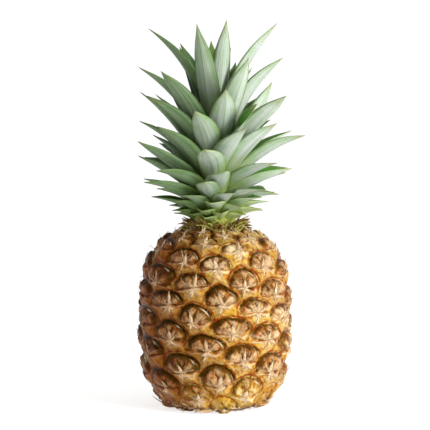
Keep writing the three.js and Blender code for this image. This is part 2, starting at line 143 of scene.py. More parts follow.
# Leaves that stand off the even spiral: number, turn, tilt and share of the usual length.
LEAF_LEANS = {
    7: (0, 0, 1.15), 11: (0, 0, 1.15), 16: (0, 0, 1.15), 23: (0, 4, 1.2),
    28: (0, -2, 1.2), 34: (-3, 0, 1), 37: (0, -9, 0.9), 39: (0, 6, 1), 40: (0, -5, 0.8),
    42: (1, -9, 1), 44: (-17, -5, 1.15), 47: (-2, 5, 1), 49: (0, 5, 1.1), 50: (8, -5, 0.95),
    52: (-20, -11, 1), 53: (0, -10, 1.05), 54: (0, 0, 0.88), 55: (21, -7, 0.9),
    57: (0, 2, 1.05), 58: (5, 0, 1.15), 60: (1, -5, 1), 62: (0, 13, 0.85), 63: (0, 8, 1),
    65: (-11, 1, 1), 66: (0, -3, 0.87), 67: (0, 0, 0.85), 68: (4, -3, 0.92), 70: (0, -2, 0.9),
    71: (-35, 4, 0.95), 73: (6, 1, 1), 74: (0, 3, 0.7), 75: (0, 4, 1.1), 76: (20, -2, 1.13),
    78: (-4, -2, 1), 79: (3, 12, 1), 80: (0, 0, 0.95), 81: (10, 0, 1), 82: (0, 0, 0.8),
    83: (0, 1, 0.76), 84: (18, 6, 1.15), 86: (-17, -2, 1.05), 87: (0, 0, 0.75),
    88: (-15, 11, 1), 89: (8, -3, 1), 90: (-2, 0, 0.91), 91: (-7, -14, 0.95), 92: (0, 7, 0.72),
    94: (-12, 4, 1.2), 95: (1, 10, 0.75), 96: (4, 5, 0.88), 97: (30, -8, 1.15),
    98: (5, 0, 0.95), 99: (-28, -20, 1.05), 100: (0, 6, 0.75), 101: (0, 0, 0.8),
    102: (19, -2, 0.95), 103: (0, 2, 0.77),
}
# Leaves that turn over to show a face: number and twist.
LEAF_TWISTS = {
    58: -25, 71: 85, 76: -25, 78: 25, 79: -50, 84: -20, 96: -60, 97: -15, 99: 8,
}
# Leaves that bend more or less than the rest: number, and by how much.
LEAF_BENDS = {
    28: -15, 41: -15, 44: -10, 49: -15, 50: -20, 57: -25, 58: 12, 79: -40, 84: 22, 86: 12,
    91: 18, 97: 20, 99: 34,
}
LEAF_ROOT = 0.85  # how far out the leaves start, as a share of the stem's radius
LEAF_STEPS = 12  # the CAD leaf's segments, which set where its bend starts
LEAF_FOLD = (34, 16)  # of a leaf's halves, at its root and at its tip
# Places along a leaf, and its width there as a share of the full width.
LEAF_OUTLINE = [
    (0, 0.8), (0.15, 0.93), (0.3, 1), (0.45, 0.99), (0.6, 0.9), (0.72, 0.73),
    (0.83, 0.47), (0.9, 0.26), (0.95, 0.12), (0.98, 0.055), (1, 0.02),
]
LEAF_AGEING = (42, 6)  # from fresh leaves down to the oldest
LEAF_SHADE = (0.3, -0.9)  # painted shade, from none on the +X side to full on the -X side, as sines of the leaves' azimuths
LEAF_GROUPS = {
    "outer_leaves": (LEAF_FIRST, 50), "middle_leaves": (50, 82), "inner_leaves": (82, LEAF_COUNT),
}

# The studio, in metres. The camera and the key light both look at AIM.
AIM = Vector((0, 0, 0.1568))
SENSOR = 36
KEY_PLACE, KEY_SIZE = Vector((1.1, -0.95, 0.55)), 0.5
FLOOR_CORNERS = [(-8, -8, 0), (8, -8, 0), (8, 12, 0), (-8, 12, 0)]


def colour(hex_value):
    """An sRGB hex colour as linear RGBA."""
    channels = [int(hex_value[i : i + 2], 16) / 255 for i in (1, 3, 5)]
    return [c / 12.92 if c <= 0.04045 else ((c + 0.055) / 1.055) ** 2.4 for c in channels] + [1.0]


def tone(description, hex_value):
    """A colour that a user may change, named by the start of its description."""
    return FloatVectorProperty(
        name=description.split(",")[0], description=description, subtype="COLOR",
        size=4, min=0, max=1, default=colour(hex_value),
    )


def vary(number, trait):
    """A fixed draw from -1 to 1 for a piece's number and a trait. Traits' numbers only keep draws apart."""
    wave = math.sin(number * 12.9898 + trait * 78.233) * 43758.5453
    return 2 * (wave - math.floor(wave)) - 1


def smooth(low, high, value):
    """0 below low, 1 above high, and a smooth step between them."""
    t = np.clip((value - low) / (high - low), 0, 1)
    return t * t * (3 - 2 * t)


def bump_at(value, width):
    """1 where value is 0, falling off smoothly over that width to either side."""
    return np.exp(-((value / width) ** 2))


def lattice_noise(points, size, seed):
    """Smooth noise from -1 to 1 at points, with lumps of that size."""
    spots = points / size
    cell = np.floor(spots).astype(np.int64)
    u = spots - cell
    u = u * u * (3 - 2 * u)
    total = np.zeros(len(points))
    for corner in range(8):
        step = np.array([(corner >> axis) & 1 for axis in range(3)])
        # The corner's place and the seed, mixed into a draw from -1 to 1.
        mixed = (cell + step) @ np.array(HASH_FACTORS) + seed * 2654435
        mixed = (mixed ^ (mixed >> 13)) * 1274126177 % 2147483647
        weight = np.prod(np.where(step, u, 1 - u), axis=1)
        total += weight * (mixed % 10007 / 5003.5 - 1)
    return total


def between(rows, column, t):
    """A smooth curve through a column of a table, at a place counted in rows."""
    i = min(int(t), len(rows) - 2)
    a, b, c, d = (rows[min(max(n, 0), len(rows) - 1)][column] for n in range(i - 1, i + 3))
    u = t - i
    return b + 0.5 * u * (c - a + u * (2 * a - 5 * b + 4 * c - d + u * (3 * (b - c) + d - a)))


def turned(angle, radial, height):
    """Points round the axis, and the way outwards at each. The angles are azimuths in radians."""
    outward = np.stack([np.sin(angle), -np.cos(angle), np.zeros_like(angle)], axis=-1)
    points = outward * radial[..., None]
    points[..., 2] = height
    return points, outward


def walked(headings, step):
    """How far along and how far up each step of a walk has come, from its start."""
    return (np.concatenate([[0], np.cumsum(step * way(headings))]) for way in (np.cos, np.sin))


# The fruit's skin


def walk_skin():
    """Rows of radius, height, pitch and eyes' count along the skin."""
    steps = (len(SKIN) - 1) * SKIN_STEPS
    walk = np.array([[between(SKIN, c, n / SKIN_STEPS) for c in range(3)] for n in range(steps + 1)])
    lengths = np.hypot(*np.diff(walk[:, :2], axis=0).T)
    counts = np.concatenate([[0], np.cumsum(2 * lengths / (walk[1:, 2] + walk[:-1, 2]))])
    n = next(i for i, row in enumerate(walk) if row[1] > EYE_FRONT_HEIGHT)
    share = (EYE_FRONT_HEIGHT - walk[n - 1, 1]) / (walk[n, 1] - walk[n - 1, 1])
    front = counts[n - 1] + share * (counts[n] - counts[n - 1])
    return np.column_stack([walk, counts - front + EYE_FRONT])


WALK = walk_skin()
WALK_OUT = np.gradient(WALK[:, 1]), -np.gradient(WALK[:, 0])


def skin_at(count):
    """Radius, height and pitch of the skin at a place in the eyes' count."""
    return [np.interp(count, WALK[:, 3], WALK[:, column]) for column in range(3)]


def skin_points(azimuth, count, lift):
    """Points over the skin, in millimetres."""
    r, z, _ = skin_at(count)
    out_r, out_z = (np.interp(count, WALK[:, 3], way) for way in WALK_OUT)
    length = np.hypot(out_r, out_z)
    return turned(np.radians(azimuth), r + out_r / length * lift, z + out_z / length * lift)[0]


def skin_noise(azimuth, count):
    """The height of the skin's bed at places on it, and noise of each size there."""
    base = skin_points(azimuth, count, 0)
    return base[:, 2], [lattice_noise(base, size, seed) for seed, size in enumerate(NOISE_SIZES)]


def growth(count):
    """How nearly full-grown the eyes are at a place in the count."""
    return np.minimum(1, skin_at(count)[2] / FULL_PITCH)


def stray_of(number):
    """How far an eye stands off the even spiral, as a turn and a rise."""
    return EYE_SHIFTS.get(number) or tuple(EYE_STRAY[i] * vary(number, i + 1) for i in range(2))


def eye_at(number):
    """An eye's azimuth and its place in the count."""
    turn, rise = stray_of(number)
    return np.array([EYE_AZIMUTH + (number - EYE_FRONT) * EYE_TURN + turn, number + rise])


def edge_of(number):
    """The spots round an eye's edge, each an azimuth and a count."""
    own = eye_at(number)
    ring = []
    for step in EYE_NEIGHBOURS:
        turn = step * EYE_TURN
        turn -= 360 * math.floor(turn / 360 + 0.5)
        stray = stray_of(number + step)[0] - stray_of(number)[0]
        ring.append(np.array([own[0] + turn + stray, eye_at(number + step)[1]]))
    corners = [(own + ring[i] + ring[(i + 1) % 6]) / 3 for i in range(6)]
    t = (np.arange(SIDE_SPOTS) / SIDE_SPOTS)[:, None]
    sides = []
    for i, step in enumerate(EYE_NEIGHBOURS):
        low, high = (own, ring[i]) if step > 0 else (ring[i], own)
        straight = corners[i - 1] * (1 - t) + corners[i] * t
        sides.append(straight + 4 * t * (1 - t) * EYE_ARCH * (high - low))
    return np.concatenate(sides)


def eye_frame(number):
    """An eye's middle and edge, the skin's radius and pitch there, and the edge's place in millimetres."""
    own, edge = eye_at(number), edge_of(number)
    r, _, pitch = skin_at(own[1])
    return own, edge, r, pitch, np.radians(edge[:, 0] - own[0]) * r, (edge[:, 1] - own[1]) * pitch


def eye_relief(x, y, out, number, noise):
    """The lift of an eye as a share of its full lift, and its tissues, at places in its unit disc.

    The numbers here are places and widths in that disc, shares of the lift, and strays of them.
    """
    own = [vary(number, trait) for trait in range(40, 52)]
    flap = float(smooth(*FLAP_EYES, number))
    y = y + STAR_DROP * smooth(1, 0.5, out)
    angle, from_star = np.arctan2(y, x), np.hypot(x, y)
    # The skirt ends in a wavy lip across the eye. The dome stands above it, inside a groove.
    over_lip = y - 0.14 * own[0] * x - 0.05 * np.cos(3 * x) + 0.03 * np.sin(9 * x + 4 * own[1])
    over_lip = over_lip + 0.03 * noise[2]
    dome = smooth(-0.025, 0.03, over_lip)
    groove_at = 0.85 + 0.02 * own[2] + 0.03 * np.sin(3 * angle + 3 * own[3])
    groove_at = groove_at + 0.045 * noise[1] + 0.03 * noise[3]
    # Ridges and wrinkles fan out from the star in the eye's middle.
    fan = np.sin(11 * angle + 2.2 * np.sin(3 * angle + 3 * own[4]) + 5 * own[5] + noise[0])
    fan = np.clip(fan, 0, 1) ** 2 * smooth(0.05, 0.2, out) * smooth(1.0, 0.6, out)
    ridges = np.zeros_like(out)
    for n, (heading, length) in enumerate(STAR_ARMS):
        turn = angle - np.radians(heading + STAR_STRAY * vary(number, 80 + n))
        away = np.abs(np.sin(turn)) * from_star + (np.cos(turn) < 0)
        ridges = np.maximum(ridges, bump_at(away, 0.1) * smooth(1.7 * length, 0.1, from_star))
    skirt_lift = LIP_LIFT + (0.9 - LIP_LIFT) * (1 - out**1.5)
    wing = bump_at(over_lip + 0.12, 0.1) * smooth(0.05, 0.3, np.abs(x)) * smooth(1, 0.8, out)
    skirt_lift += 0.15 * ridges + 0.16 * wing - 0.07 * bump_at(out - 0.86, 0.07)
    # The dome is three puffy sepals, parted by creases and sunk behind the lip.
    crease_x = x - 0.15 * own[7] * y - 0.06 * own[8]
    fork = smooth(0.3, 0.5, y + 0.1 * own[9])
    creases = bump_at(crease_x, 0.075) * (1 - fork)
    creases = np.maximum(creases, bump_at(np.abs(crease_x) - 0.75 * (y - 0.36), 0.06) * fork)
    creases *= smooth(0.03, 0.1, over_lip)
    puff = smooth(groove_at, groove_at - 0.24, out)
    sunk = smooth(-0.02, 0.25, over_lip + 0.2 * bump_at(x, 0.12))
    lobes = bump_at(np.hypot(np.abs(crease_x) - 0.36, y - 0.3), 0.26)
    lobes = np.maximum(lobes, bump_at(np.hypot(x, y - 0.6), 0.2))
    dome_lift = 0.82 * puff * (0.5 + 0.5 * sunk) + 0.2 * lobes - 0.36 * creases * puff
    dome_lift += 0.1 * bump_at(out - 0.75, 0.05) * smooth(0.1, 0.3, y) + 0.07 * noise[2] * puff
    dome_lift = np.maximum(dome_lift, (LIP_LIFT + 0.1) * smooth(groove_at + 0.04, 0.97, out))
    dome_lift = dome_lift * (1 - flap) + flap * (0.3 + 0.3 * fan + 0.15 * noise[1]) * smooth(1, 0.7, out)
    slit = bump_at(over_lip - 0.05, 0.05) * smooth(0.1, 0.35, np.abs(x)) * smooth(0.99, 0.9, out)
    lift = skirt_lift * (1 - dome) + dome_lift * dome - 0.15 * slit + 0.05 * fan
    # Where the tissues are that the material tells apart.
    wide = 0.03 + 0.02 * own[10] + 0.03 * noise[0] + 0.03 * noise[2]
    # Painted shade, over the tissue's own brown: dark in the grooves, the slit under the lip and the creases
    # between the sepals.
    groove = dome * bump_at(np.maximum(np.abs(out - groove_at) - wide, 0), 0.07)
    groove *= (0.45 + 0.55 * smooth(0.1, 0.45, y + 0.12 * own[6] * x)) * (1 - 0.75 * flap)
    groove = np.maximum(groove, np.maximum(0.4 * slit, 0.8 * creases * puff))
    # Painted highlight: a pale line along the upper right of the dome's rim, where the key light catches it.
    glint = bump_at(out - 0.77 - 0.04 * noise[1], 0.025) * bump_at(angle - 0.75 - 0.3 * own[4], 0.4)
    crest = np.maximum(ridges, 0.2 * fan * smooth(0.8, 0.2, out))
    brim = smooth(0.88, 0.93, out) * (0.5 + 0.5 * smooth(0, 0.3, y))
    side = 0.5 - 0.5 * np.sign(crease_x)
    return lift, {
        "sepal": dome * smooth(groove_at + 0.02, groove_at - 0.03, out),
        "groove": groove * smooth(1.02, 0.96, out),
        "ring": dome * smooth(0.56, 0.8, out + 0.06 * noise[1]) * smooth(0.02, 0.2, y) * (1 - flap),
        "glint": dome * glint * (own[2] > -0.6),
        "corner": smooth(0.25, 0.7, np.abs(x)) * smooth(-0.8, -0.3, y) * (1 - dome),
        "wing": wing * (1 - dome),
        "line": np.maximum(bump_at(over_lip + 0.02, 0.05) * smooth(0.1, 0.4, out), brim),
        "puff": dome * lobes * (1 - creases),
        "low": (1 - dome) * smooth(-0.25, -0.85, y),
        "paper": np.clip(np.maximum(0.85 * crest, bump_at(from_star, 0.2)), 0, 1),
        "lobe": side * (0.5 + 0.5 * own[11]) + (1 - side) * (0.5 - 0.5 * own[11]),
        "out": out,
        "fan_x": np.cos(angle) * smooth(0, 0.07, out),
        "fan_y": np.sin(angle) * smooth(0, 0.07, out),
    }


def eye_faces():
    """The faces of one eye's skin: a fan round its middle, then rings out to its edge."""
    around = 6 * SIDE_SPOTS
    faces = []
    for i in range(around):
        j = (i + 1) % around
        faces.append((0, 1 + i, 1 + j))
        for ring in range(len(EYE_RINGS) - 1):
            a = 1 + ring * around
            faces.append((a + i, a + around + i, a + around + j, a + j))
    return faces


def eye_skin(number, relief, faces):
    """The points, faces and tissues of one eye's skin. Neighbours' edges meet point for point."""
    own, edge, _, _, rightward, upward = eye_frame(number)
    reach = np.hypot(rightward, upward)
    rings = np.array(EYE_RINGS)[:, None]
    out = np.concatenate([[0], np.repeat(EYE_RINGS, len(edge))])
    x, y = (np.concatenate([[0], (rings * way / reach).ravel()]) for way in (rightward, upward))
    spot = own + np.concatenate([np.zeros((1, 2)), (rings[..., None] * (edge - own)).reshape(-1, 2)])
    bed, noise = skin_noise(spot[:, 0], spot[:, 1])
    lift, tissues = eye_relief(x, y, out, number, noise)
    at_edge = out == 1
    # Lumps, as shares of the lift. The finer ones are half as high at the edge.
    lift = np.where(at_edge, LIP_LIFT, lift) + 0.06 * noise[1]
    lift += np.where(at_edge, 0.5, 1) * (0.06 * noise[2] + 0.05 * noise[3])
    share = out**4
    size = growth(own[1]) * (1 - share) + growth(spot[:, 1]) * share
    points = skin_points(spot[:, 0], spot[:, 1], relief * size * lift)
    points[:, 2] = np.clip(points[:, 2], 0, NECK_HEIGHT)
    tissues["tint"] = 0.5 + 0.5 * vary(number, 18) * (1 - out**6)
    # Painted light: 1 on the +X side, which faces the key light, and 0 on the -X side, which the material
    # darkens as painted shade.
    tissues["ripe"] = 0.5 + 0.5 * np.sin(np.radians(spot[:, 0]))
    tissues["ends"] = np.maximum(0.8 * smooth(*GREEN_FOOT, bed), smooth(*GREEN_TOP, bed))
    tissues["foot"] = smooth(*GOLD_FOOT, bed)
    # Browner and darker underneath: partly dried tissue, partly painted shade near the floor.
    tissues["under"] = smooth(*BROWN_AND_SHADE_UNDER, bed)
    return points, faces, tissues


def joined(parts):
    """Many skins or blades as one set of points, faces and traits."""
    all_points, all_faces, all_traits = zip(*parts)
    faces, start = [], 0
    for points, own_faces in zip(all_points, all_faces):
        faces += [tuple(start + n for n in face) for face in own_faces]
        start += len(points)
    traits = {name: np.concatenate([own[name] for own in all_traits]) for name in all_traits[0]}
    return np.concatenate(all_points), faces, traits


def mesh_from(name, points, faces, traits):
    """A mesh from points in millimetres, with a named number at each point for its material."""
    mesh = bpy.data.meshes.new(name)
    mesh.from_pydata((points * MM).tolist(), [], faces)
    for trait, values in traits.items():
        mesh.attributes.new(trait, "FLOAT", "POINT").data.foreach_set("value", np.ravel(values))
    return mesh


def close_rims(mesh):
    """Joins the eyes, and closes the skin round the stalk's socket and under the crown.

    Each rim is carried on step by step: every point of it, with its traits, to a radius and a height.
    """
    bm = bmesh.new()
    bm.from_mesh(mesh)
    bmesh.ops.remove_doubles(bm, verts=bm.verts, dist=WELD * MM)
    rims = [edge for edge in bm.edges if edge.is_boundary]
    socket = (STALK_RADIUS + GAP, SOCKET_MOUTH), (STALK_RADIUS + GAP, STALK_DEPTH + GAP)
    for is_high, steps in ((False, socket), (True, (NECK_FLOOR,))):
        rim = [edge for edge in rims if (edge.verts[0].co.z > NECK_HEIGHT / 2 * MM) == is_high]
        for radius, height in steps:
            ahead = {}
            for vert in (vert for edge in rim for vert in edge.verts):
                if vert not in ahead:
                    flat = Vector((vert.co.x, vert.co.y, 0)).normalized() * radius * MM
                    ahead[vert] = bm.verts.new((flat.x, flat.y, height * MM), vert)
            sides = [edge.link_loops[0] for edge in rim]
            ends = [(side.link_loop_next.vert, side.vert) for side in sides]
            rim = [bm.faces.new((a, b, ahead[b], ahead[a])).edges[2] for a, b in ends]
        bmesh.ops.holes_fill(bm, edges=rim, sides=0)
    bmesh.ops.recalc_face_normals(bm, faces=bm.faces)
    bm.to_mesh(mesh)
    bm.free()


def add_piece(mesh, material, node):
    """Shows a mesh as a piece that stands for a CAD node."""
    mesh.materials.append(material)
    mesh.shade_smooth()
    piece = bpy.data.objects.new(mesh.name, mesh)
    bpy.context.scene.collection.objects.link(piece)
    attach(piece, "root")
    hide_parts(node)


# Blades: leaves, bracts and dry points
#
# The bare numbers in these functions are shares of a blade's own measures, powers and phases that
# shape a curve along it, and the least lifts and widths that it may have, in millimetres.


def blade(middle, across, up, half, rise, thick, spots, numbers, floor=0):
    """A closed blade. Rows run from root to tip, and spots from margin to margin.

    rise is how far its margins stand up from its middle, and thick its thickness along the middle.
    numbers are the blade's own, the same at each of its points, and floor is the lowest that it may lie.
    """
    c = np.linspace(-1, 1, spots)
    bend = np.abs(c) ** 1.7
    deep = np.atleast_1d(thick)[:, None] * (1 - 0.72 * c**2) / 2
    spread = middle[:, None] + across[:, None] * (half[:, None] * c)[..., None]
    lifted = rise[:, None] * bend
    inner = spread + up[:, None] * (lifted + deep)[..., None]
    outer = spread + up[:, None] * (lifted - deep)[..., None]
    for margin in (0, -1):
        outer[:, margin] = inner[:, margin] = (outer[:, margin] + inner[:, margin]) / 2
    loop = np.concatenate([inner, outer[:, -2:0:-1]], axis=1)
    rows, around = loop.shape[:2]
    points = np.concatenate([loop[:-1].reshape(-1, 3), middle[-1:]])
    points[:, 2] = np.maximum(points[:, 2], floor)
    tip = len(points) - 1
    faces = [tuple(range(around))]
    for i in range(around):
        j = (i + 1) % around
        for row in range(rows - 2):
            a = row * around
            faces.append((a + i, a + around + i, a + around + j, a + j))
        faces.append((tip - around + i, tip, tip - around + j))
    side = np.concatenate([[0.5], np.ones(spots - 2), [0.5], np.zeros(spots - 2)])
    traits = {
        "inner_face": np.append(np.tile(side, rows - 1), 0.5),
        "across": np.append(np.tile(np.concatenate([c, c[-2:0:-1]]), rows - 1), 0),
        "along": np.append(np.repeat(np.linspace(0, 1, rows)[:-1], around), 1),
    }
    for name, number in numbers.items():
        traits[name] = np.full(len(points), number)
    return points, faces, traits


def ways_along(middle, outward):
    """Unit vectors across a curved midrib and up from it, where outward is roughly up."""
    ahead = np.gradient(middle, axis=0)
    ahead /= np.linalg.norm(ahead, axis=1, keepdims=True)
    across = np.cross(ahead, outward)
    across /= np.linalg.norm(across, axis=1, keepdims=True)
    return across, np.cross(across, ahead)


def skin_midrib(azimuth, count, lift):
    """A midrib over the fruit's skin, and the ways across it and up from it."""
    middle = skin_points(azimuth, count, lift)
    return (middle, *ways_along(middle, skin_points(azimuth, count, lift + 1) - middle))


def eye_midrib(number, x, y, relief, extra):
    """A midrib over an eye's skin, at places in its unit disc and with a further lift, and its ways."""
    own, _, r, pitch, right, up = eye_frame(number)
    reach = np.interp(np.arctan2(y, x), np.arctan2(up, right), np.hypot(right, up), period=2 * math.pi)
    azimuth, count = own[0] + np.degrees(x * reach / r), own[1] + y * reach / pitch
    lift, _ = eye_relief(x, y, np.hypot(x, y), number, skin_noise(azimuth, count)[1])
    return skin_midrib(azimuth, count, relief * float(growth(own[1])) * lift + extra)


def stem_radius(height):
    """The crown's stem at a height above the ground."""
    radii, heights = zip(*CROWN_STEM[1:])
    return float(np.interp(height - CROWN_FOOT, heights, radii))


def leaf_blade(number, thickness, rows=27, spots=9):
    """One leaf of the crown: a tapering channel, hollow side up, that bends outwards to a point."""
    climb = LEAF_CLIMB[0] * number + LEAF_CLIMB[1] * number**2
    t = min(climb / LEAF_GROWTH_STEP, len(LEAF_GROWTH) - 1)
    reach, slope, curl, width = (between(LEAF_GROWTH, column, t) for column in range(4))
    turn, tilt, stretch = LEAF_LEANS.get(number, (0, 0, 1))
    curl += LEAF_BENDS.get(number, 0)
    mean = slope + LEAF_STRAY["slope"] * vary(number, 5) + tilt
    free = reach * (1 + LEAF_STRAY["reach"] * vary(number, 7)) - stem_radius(CROWN_FOOT + climb)
    spiral = LEAF_AZIMUTH + (number - LEAF_FRONT) * LEAF_TURN
    azimuth = spiral + LEAF_STRAY["azimuth"] * vary(number, 6) + turn
    height = CROWN_FOOT + LEAF_LOWEST + climb
    share = np.linspace(0, 1, rows)
    bend = np.radians(mean + 0.5 * curl - curl * (share - 0.5 / LEAF_STEPS))
    along, rise = walked((bend[1:] + bend[:-1]) / 2, free * stretch / (rows - 1))
    angle = np.radians(azimuth + LEAF_STRAY["sway"] * vary(number, 8) * share**2)
    middle, _ = turned(angle, LEAF_ROOT * stem_radius(height) + along, height + rise)
    across = np.column_stack([np.cos(angle), np.sin(angle), np.zeros(rows)])
    up, _ = turned(angle, -np.sin(bend), np.cos(bend))
    twist = np.radians(LEAF_TWISTS.get(number, LEAF_STRAY["twist"] * vary(number, 9))) * share
    cos, sin = np.cos(twist)[:, None], np.sin(twist)[:, None]
    across, up = across * cos + up * sin, up * cos - across * sin
    age = float(smooth(*LEAF_AGEING, number))
    half = 0.5 * width * np.interp(share, *zip(*LEAF_OUTLINE)) * (1 - 0.6 * age * smooth(0.45, 0.85, share))
    fold = np.radians(LEAF_FOLD[0] + (LEAF_FOLD[1] - LEAF_FOLD[0]) * share)
    # Painted shade: 0 for leaves on the +X side, 1 for those on the -X side, away from the key light.
    shade = float(smooth(*LEAF_SHADE, math.sin(math.radians(azimuth))))
    numbers = {"tint": vary(number, 10), "age": age, "shade": shade}
    return blade(
        middle, across, up, half * np.cos(fold), half * np.sin(fold), thickness * (1 - 0.55 * share),
        spots, numbers, CROWN_FOOT,
    )


def tip_blade(number, relief, width, thickness, rows=12, spots=5):
    """The dry point of an eye's bract, from the eye's middle up over its dome."""
    own = eye_at(number)
    size = float(growth(own[1]))
    collar = float(smooth(*COLLAR_EYES, number))
    length = TIP_LENGTH * size * (1 + TIP_STRAY[0] * vary(number, 3)) + COLLAR_LENGTH * collar
    share = np.linspace(-TIP_SUNK, 1, rows)
    curl = TIP_CURL * vary(number, 21) * np.sin(2.6 * share) * share
    azimuth = own[0] + TIP_STRAY[1] * vary(number, 4) * share + curl
    count = own[1] - TIP_DROP + length / skin_at(own[1])[2] * share
    start, end = TIP_START * relief * size, (relief + TIP_RISE) * size + COLLAR_RISE * collar
    midrib = skin_midrib(azimuth, count, start + (end - start) * np.clip(share, 0, 1) ** 1.6)
    narrow = 1 - np.clip(share, 0, 1)
    half = size * width / 2 * narrow**0.9 * (1 + 0.35 * vary(number, 22)) + 0.12
    numbers = {"tint": vary(number, 23)}
    return blade(*midrib, half, -0.45 * half, thickness * (0.5 + 0.5 * narrow), spots, numbers)


def star_blade(number, arm, relief, rows=8, spots=5):
    """A dry arm of an eye's star, lying on the skin."""
    heading, length = STAR_ARMS[arm]
    own = [vary(number, trait + arm) for trait in range(80, 140, 10)]
    share = np.linspace(0, 1, rows)
    turn = np.radians(heading + STAR_STRAY * own[0]) + 0.5 * own[2] * share
    away = length * (1 + 0.35 * own[1]) * share
    extra = 0.1 + 0.5 * share * (1 - share) + 0.35 * (1 + own[3]) * share**2
    midrib = eye_midrib(number, away * np.cos(turn), away * np.sin(turn) - STAR_DROP, relief, extra)
    full = 0.5 * STAR_WIDTH * float(growth(number))
    half = full * (1 - share) ** 0.7 * (1 + 0.3 * own[4]) + 0.1
    return blade(*midrib, half, -0.3 * half, STAR_THICKNESS, spots, {"tint": own[5]})


def fibre_blade(number, strand, relief, rows=12, spots=3):
    """A loose dry fibre that curls up from an eye's star."""
    share = np.linspace(0, 1, rows)
    own = [vary(number, trait + 20 * strand) for trait in range(141, 146)]
    heading = math.radians(90 + 75 * own[0]) + 1.6 * own[1] * share**2
    x, y = walked(heading[1:], FIBRE_LENGTH * (1 + 0.4 * own[2]) / EYE_RADIUS / (rows - 1))
    extra = 0.3 + (FIBRE_HEIGHT[0] + FIBRE_HEIGHT[1] * own[3]) * np.sin(2.3 * share)
    midrib = eye_midrib(number, x, y - STAR_DROP, relief, extra)
    half = 0.5 * FIBRE_WIDTH * (1 - 0.7 * share)
    points, faces, traits = blade(*midrib, half, 0 * half, 0.8 * half, spots, {"tint": own[4]})
    reach = np.hypot(points[:, 0], points[:, 1])
    limit = FIBRE_OUT + FIBRE_RIGHT * np.maximum(0, points[:, 0] / reach) ** 4
    points[:, :2] *= np.minimum(1, limit / reach)[:, None]
    points[:, 2] = np.minimum(points[:, 2], FIBRE_TOP)
    return points, faces, traits


def base_blade(number, rows=9, spots=5):
    """A withered bract of the lowest eyes, pressed out against what the fruit stands on."""
    share = np.linspace(0, 1, rows)
    own = [vary(number, trait) for trait in range(150, 157)]
    measures = BASE_RADIUS, BASE_REACH, BASE_HEIGHT, BASE_RISE, BASE_HALF
    radius, reach, height, rise, half = (
        usual + stray * draw for (usual, stray), draw in zip(measures, own[1:])
    )
    angle = np.radians(number * EYE_TURN + BASE_TURN * own[0] * share)
    middle, out = turned(angle, radius + reach * share, height * (1 - share) ** 1.3 + rise * share)
    across, up = ways_along(middle, out * 0.8 + np.array([0, 0, 0.6]))
    half *= np.interp(share, (0, 0.3, 0.7, 1), (0.8, 1, 0.45, 0.05))
    return blade(middle, across, up, half, -0.3 * half, BASE_THICKNESS, spots, {"tint": own[6]})


def neck_blade(number, count, rows=11, spots=5):
    """A short curling bract of the collar between the fruit and its crown."""
    share = np.linspace(0, 1, rows)
    level = number / (count - 1)
    own = [vary(number, trait) for trait in range(31, 38)]
    radius, height, steep, bend, length = (low + (high - low) * level for low, high in zip(*NECK_BRACTS))
    angle = np.radians(number * LEAF_TURN + NECK_STRAY["turn"] * own[0] * share)
    bend += NECK_STRAY["bend"] * own[2] * (1 - level)
    slope = np.radians(steep + NECK_STRAY["slope"] * own[1] - bend * share)
    along, rise = walked(slope[1:], length * (1 + NECK_STRAY["length"] * own[3]) / (rows - 1))
    middle, _ = turned(angle, radius + along, height + rise)
    across, up = ways_along(middle, turned(angle, -np.sin(slope), np.cos(slope))[0])
    half = (NECK_HALF + own[4]) * np.interp(share, (0, 0.3, 0.65, 1), (0.9, 1, 0.5, 0.03))
    edges = 0.5 * half * (1 + 0.5 * own[5])
    return blade(middle, across, up, half, edges, NECK_THICKNESS, spots, {"tint": own[6]})


def stem_arrays():
    """The crown's stem, a turned shape roughened by the leaves' bases."""
    radii, heights = zip(*CROWN_STEM[1:])
    height = np.linspace(0, heights[-1], STEM_ROWS + 1)[:-1, None]
    turn = np.arange(STEM_SIDES) * 2 * np.pi / STEM_SIDES
    points, _ = turned(turn, np.interp(height, heights, radii) - STEM_SINK, CROWN_FOOT + height)
    points = points.reshape(-1, 3)
    points[:, :2] *= 1 + STEM_ROUGH * lattice_noise(points, STEM_LUMPS, STEM_SEED)[:, None]
    foot, top = len(points), len(points) + 1
    points = np.concatenate([points, [[0, 0, CROWN_FOOT], [0, 0, CROWN_FOOT + heights[-1]]]])
    faces = []
    for i in range(STEM_SIDES):
        j = (i + 1) % STEM_SIDES
        for a in range(0, foot - STEM_SIDES, STEM_SIDES):
            faces.append((a + i, a + j, a + STEM_SIDES + j, a + STEM_SIDES + i))
        faces += (foot, j, i), (foot - STEM_SIDES + i, foot - STEM_SIDES + j, top)
    return points, faces, {}


# Materials


def add_node(tree, kind, inputs=(), output=0, **settings):
    """Adds a shader node with its settings, values and links, and gives one of its outputs."""
    node = tree.nodes.new("ShaderNode" + kind)
    for name, value in settings.items():
        setattr(node, name, value)
    for socket, value in inputs.items() if isinstance(inputs, dict) else enumerate(inputs):
        if isinstance(value, bpy.types.NodeSocket):
            tree.links.new(value, node.inputs[socket])
        else:
            node.inputs[socket].default_value = value
    return node.outputs[output] if node.outputs else None


def new_material(name, traits=(), lumps=(), detail=4):
    """A bare material, what adds nodes to it, and the outputs that its layers read, by name.

    They are the mesh's traits, and noises with lumps of the sizes given in millimetres.
    """
    material = bpy.data.materials.new(name)
    material.use_nodes = True
    tree = material.node_tree
    tree.nodes.clear()
    add = partial(add_node, tree)
    v = {trait: add("Attribute", output="Fac", attribute_name=trait) for trait in traits}
    if lumps:
        v["place"] = add("TexCoord", output="Object")
    for lump, size in lumps:
        v[lump] = add("TexNoise", {"Vector": v["place"], "Scale": 1000 / size, "Detail": detail})
    return material, add, v


def painted(add, v, under, layers, blend_type="MIX"):
    """Lays colours over one another.

    Each layer has its source among v, two of the source's values, its share at each of them, and a colour.
    """
    for source, low, high, start, end, over in layers:
        share = add("MapRange", (v[source], low, high, start, end))
        under = add("Mix", {0: share, 6: under, 7: over}, 2, data_type="RGBA", blend_type=blend_type)
    return under


